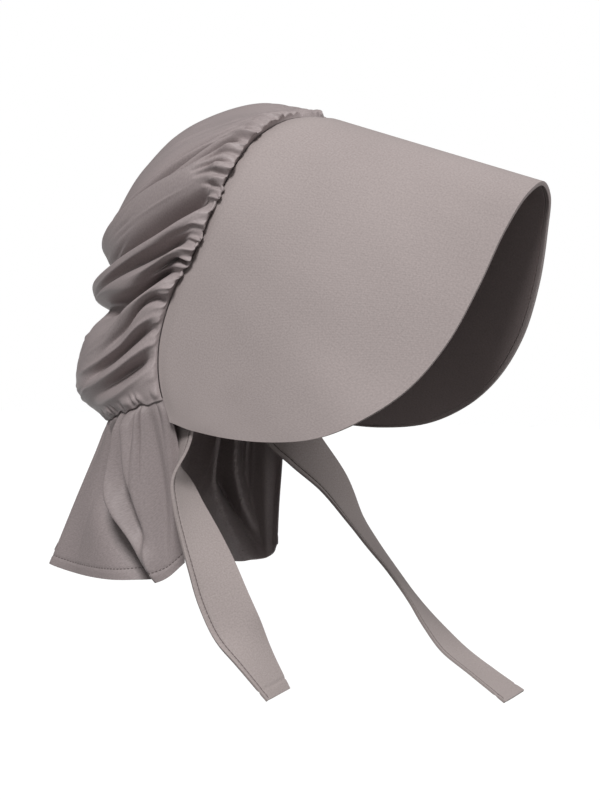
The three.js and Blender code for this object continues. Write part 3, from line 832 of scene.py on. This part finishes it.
# In millimetres: how far the lengthwise seam lies from the middle of the width, and the hem's line
# from the end; how far each face is drawn in there, and over what width at the seam and at the hem; how
# far the turning beside the seam is raised
tie_seam, tie_end_hem = 13, 7
seam_draw, seam_draw_width, hem_draw_width = 0.55, 0.75, 0.8
turning_rise = 0.12

# Each tie from its tucked-in top (0) to its end (1): down, forward and out in shares of its sizes, and
# the heading of its width in degrees
right_tie = {
    "at": (0, 0.09, 0.17, 0.24, 0.35, 0.45, 0.55, 0.65, 0.75, 0.86, 1),
    "down": (0, 0.085, 0.17, 0.243, 0.347, 0.451, 0.555, 0.659, 0.757, 0.861, 1),
    "forward": (0, -0.01, -0.015, 0.018, 0.114, 0.238, 0.36, 0.472, 0.595, 0.76, 1),
    "out": (0, 0, 0.08, 0.15, 0.28, 0.385, 0.46, 0.5, 0.46, 0.34, 0.15),
    "turn": (55, 56, 40, 12, -5, -18, -31, -45, -48, -25, -2),
}
left_tie = {
    "at": (0, 0.09, 0.16, 0.25, 0.37, 0.46, 0.55, 0.65, 0.74, 0.82, 0.91, 1),
    "down": (0, 0.1, 0.17, 0.272, 0.411, 0.496, 0.581, 0.68, 0.764, 0.846, 0.924, 1),
    "forward": (0, 0.03, 0.1, 0.2, 0.305, 0.377, 0.457, 0.55, 0.628, 0.72, 0.857, 1),
    "out": (0, -0.01, 0.14, 0.4, 0.533, 0.633, 0.733, 0.8, 0.867, 0.933, 0.967, 1),
    "turn": (-55, -55, -38, -14, 9, 13, 17, 17, 8, -3, -5, -6),
}


def tie_face(table, side, drop, reach, spread):
    """Middle face of a tie: its path runs down, forward and out by the table's shares, and its width
    has the table's heading, made square to the path."""
    corner = seam_line(np.array(float(side)))
    lower_edge = max(corner[2], edge_line(np.array(float(side)))[2])
    half_width = tie_width / 2 * np.cos(np.radians(table["turn"][0]))
    inset = lining_top + lining_thickness + tie_clearance + half_width
    place = np.linspace(0, 1, tie_rows + 1)
    path = np.stack([
        side * spread * read_column(table, "out", place),
        -reach * read_column(table, "forward", place),
        -drop * read_column(table, "down", place),
    ], -1) + (corner[0] - side * inset, corner[1] - tie_set_forward, lower_edge + tie_tuck)
    tangent = unit(np.gradient(path, axis=0))
    turn = np.radians(read_column(table, "turn", place))
    across = np.stack([np.cos(turn), np.sin(turn), np.zeros_like(turn)], -1)
    across = unit(across - tangent * (across * tangent).sum(-1, keepdims=True))
    offset = tie_width * np.linspace(-0.5, 0.5, tie_columns + 1)
    return path[:, None] + across[:, None] * offset[None, :, None]


# Name, table, side (-1 the wearer's right), then how far it runs down, forward and out in millimetres
tie_sizes = (
    ("tie_right", right_tie, -1, 170, 68, 13),
    ("tie_left", left_tie, 1, 189, 154, 30),
)
tie_twill = twill_cloth(
    "tie_twill", colour=(0.325, 0.279, 0.269), roughness=0.8, sheen=0.08, rib=1.0, depth=0.10)
for name, table, side, drop, reach, spread in tie_sizes:
    face = tie_face(table, side, drop, reach, spread)
    normals = grid_normals(face)
    along = run_along(face[:, tie_columns // 2])[:, None]
    across = tie_width * np.linspace(-0.5, 0.5, tie_columns + 1)[None, :]
    hung = ease(along, 12, 60)
    wander = 0.9 * np.sin(along / 17 + side) * (across / tie_width) + 0.5 * np.sin(along / 29 + across / 9)
    face = face + normals * (hung * wander)[..., None]
    normals = grid_normals(face)
    from_seam = (across + tie_seam) / seam_draw_width
    from_hem = (along[-1] - along - tie_end_hem) / hem_draw_width
    drawn_in = np.minimum(np.exp(-from_seam ** 2) + np.exp(-from_hem ** 2), 1)
    half = tie_thickness / 2 + turning_rise * ease(-across, tie_seam, tie_seam + 1) - seam_draw * drawn_in
    tie = wall_piece(
        name + "_band", face + normals * half[..., None], face - normals * half[..., None],
        cloth_lengths(face), tie_twill)
    round_edges(tie, radius=0.5)
    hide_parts(name)
    sewn = np.argmin(np.abs(across + tie_seam))
    depth = normals[:, sewn] * half[:, sewn, None]
    front = stitch_row(
        name + "_front_stitches", face[:, sewn] + depth, normals[:, sewn],
        pitch=3, filled=1.04, material=sewing_thread)
    behind = stitch_row(
        name + "_back_stitches", face[:, sewn] - depth, -normals[:, sewn],
        pitch=3, filled=1.04, material=sewing_thread)
